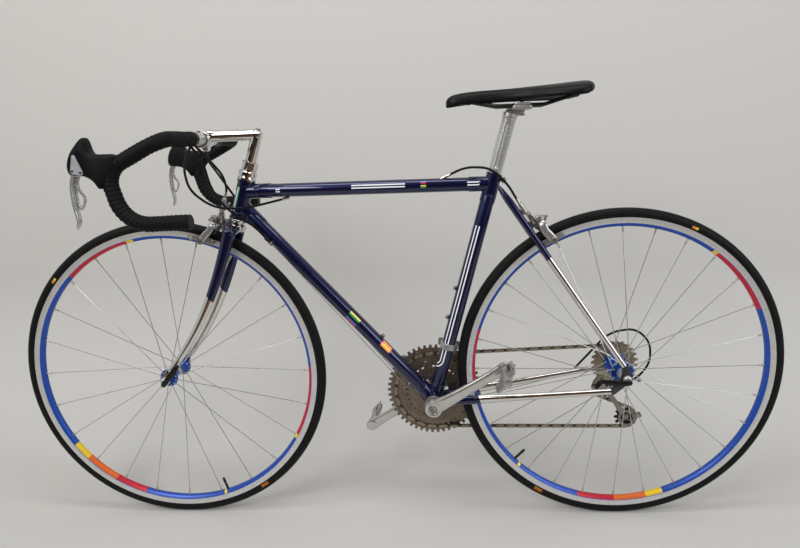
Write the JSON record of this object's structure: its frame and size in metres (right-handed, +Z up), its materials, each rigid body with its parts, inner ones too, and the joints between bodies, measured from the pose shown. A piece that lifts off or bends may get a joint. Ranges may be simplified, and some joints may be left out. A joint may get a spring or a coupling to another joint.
{
  "type": "road racing bicycle",
  "caption": "Lugged road racing bicycle with drop bar, side-pull brakes, derailleur gears and spoked wheels; wheels, cranks, pedals and steering turn.",
  "frame": {"origin": "top of the saddle on the middle plane, where the rider sits", "axes": "+X forwards, +Y to the rider's left, +Z up"},
  "size_m": [1.6199, 0.4474, 0.9135],
  "materials": {
    "blue_frame": "metallic gloss paint",
    "chrome": "polished chrome plate",
    "alloy": "polished",
    "rim_alloy": "machined tracks, coloured inner side",
    "blue_anodised": "anodised",
    "dark_alloy": "anodised, worn",
    "steel": "worn, lightly oiled",
    "black_steel": "black",
    "tyre": "slick black rubber",
    "rubber": "matt",
    "tape": "black bar tape",
    "saddle_skin": "smooth black cover",
    "plastic": "black cable housing"
  },
  "bodies": {
    "frame": {"top_tube": "blue_frame", "down_tube": "blue_frame", "head_tube": "blue_frame", "seat_tube": "blue_frame", "chainstays": "blue_frame", "bottom_bracket_shell": "blue_frame", "bottom_bracket_cups": "black_steel", "seatstays": "blue_frame", "rear_dropouts": "black_steel", "headset_cups": "chrome", "seatpost": "alloy", "seat_clamp": "alloy", "saddle_rails": "black_steel", "saddle": "saddle_skin", "rear_axle": "alloy", "rear_brake": "alloy", "front_derailleur": "dark_alloy", "rear_derailleur": "dark_alloy", "derailleur_pulleys": "plastic", "chain": "steel", "cable_stops": "black_steel", "gear_cables": "steel", "rear_brake_housing_rear": "plastic", "rear_derailleur_housing": "plastic"},
    "steering": {"fork": "blue_frame", "headset_locknut": "chrome", "stem": "alloy", "handlebar": "alloy", "taped_drop_left": "tape", "taped_drop_right": "tape", "brake_hood_left": "rubber", "brake_hood_right": "rubber", "brake_lever_left": "alloy", "brake_lever_right": "alloy", "front_brake": "alloy", "front_axle": "alloy", "front_brake_housing": "plastic", "rear_brake_housing_front": "plastic", "left_shift_housing": "plastic", "right_shift_housing": "plastic"},
    "front_wheel": {"front_tyre": "tyre", "front_rim": "rim_alloy", "front_hub_and_spokes": "blue_anodised"},
    "rear_wheel": {"rear_tyre": "tyre", "rear_rim": "rim_alloy", "rear_hub_and_spokes": "blue_anodised", "cassette": "steel"},
    "crankset": {"crank_left": "alloy", "crank_right": "alloy", "chainrings": "dark_alloy", "crank_spindle": "steel", "pedal_axles": "steel"},
    "pedal_left": {"pedal_left": "alloy"},
    "pedal_right": {"pedal_right": "alloy"}
  },
  "joints": [
    {"name": "steering_turn", "type": "hinge", "parent": "frame", "child": "steering", "pos_m": [0.55409, 0, -0.1605], "axis": [-0.3007, 0, 0.9537], "range_deg": [-70, 70], "deforming": ["rear_brake_housing_front", "left_shift_housing", "right_shift_housing"]},
    {"name": "front_wheel_spin", "type": "hinge", "parent": "steering", "child": "front_wheel", "pos_m": [0.749, 0, -0.5725], "axis": [0, 1, 0], "continuous": true},
    {"name": "rear_wheel_spin", "type": "hinge", "parent": "frame", "child": "rear_wheel", "pos_m": [-0.203, 0, -0.5725], "axis": [0, 1, 0], "continuous": true},
    {"name": "crank_spin", "type": "hinge", "parent": "frame", "child": "crankset", "pos_m": [0.18303, 0, -0.6395], "axis": [0, 1, 0], "continuous": true},
    {"name": "left_pedal_spin", "type": "hinge", "parent": "crankset", "child": "pedal_left", "pos_m": [0.03965, 0.11, -0.54816], "axis": [0, 1, 0], "continuous": true},
    {"name": "right_pedal_spin", "type": "hinge", "parent": "crankset", "child": "pedal_right", "pos_m": [0.32641, -0.11, -0.73084], "axis": [0, 1, 0], "continuous": true}
  ]
}
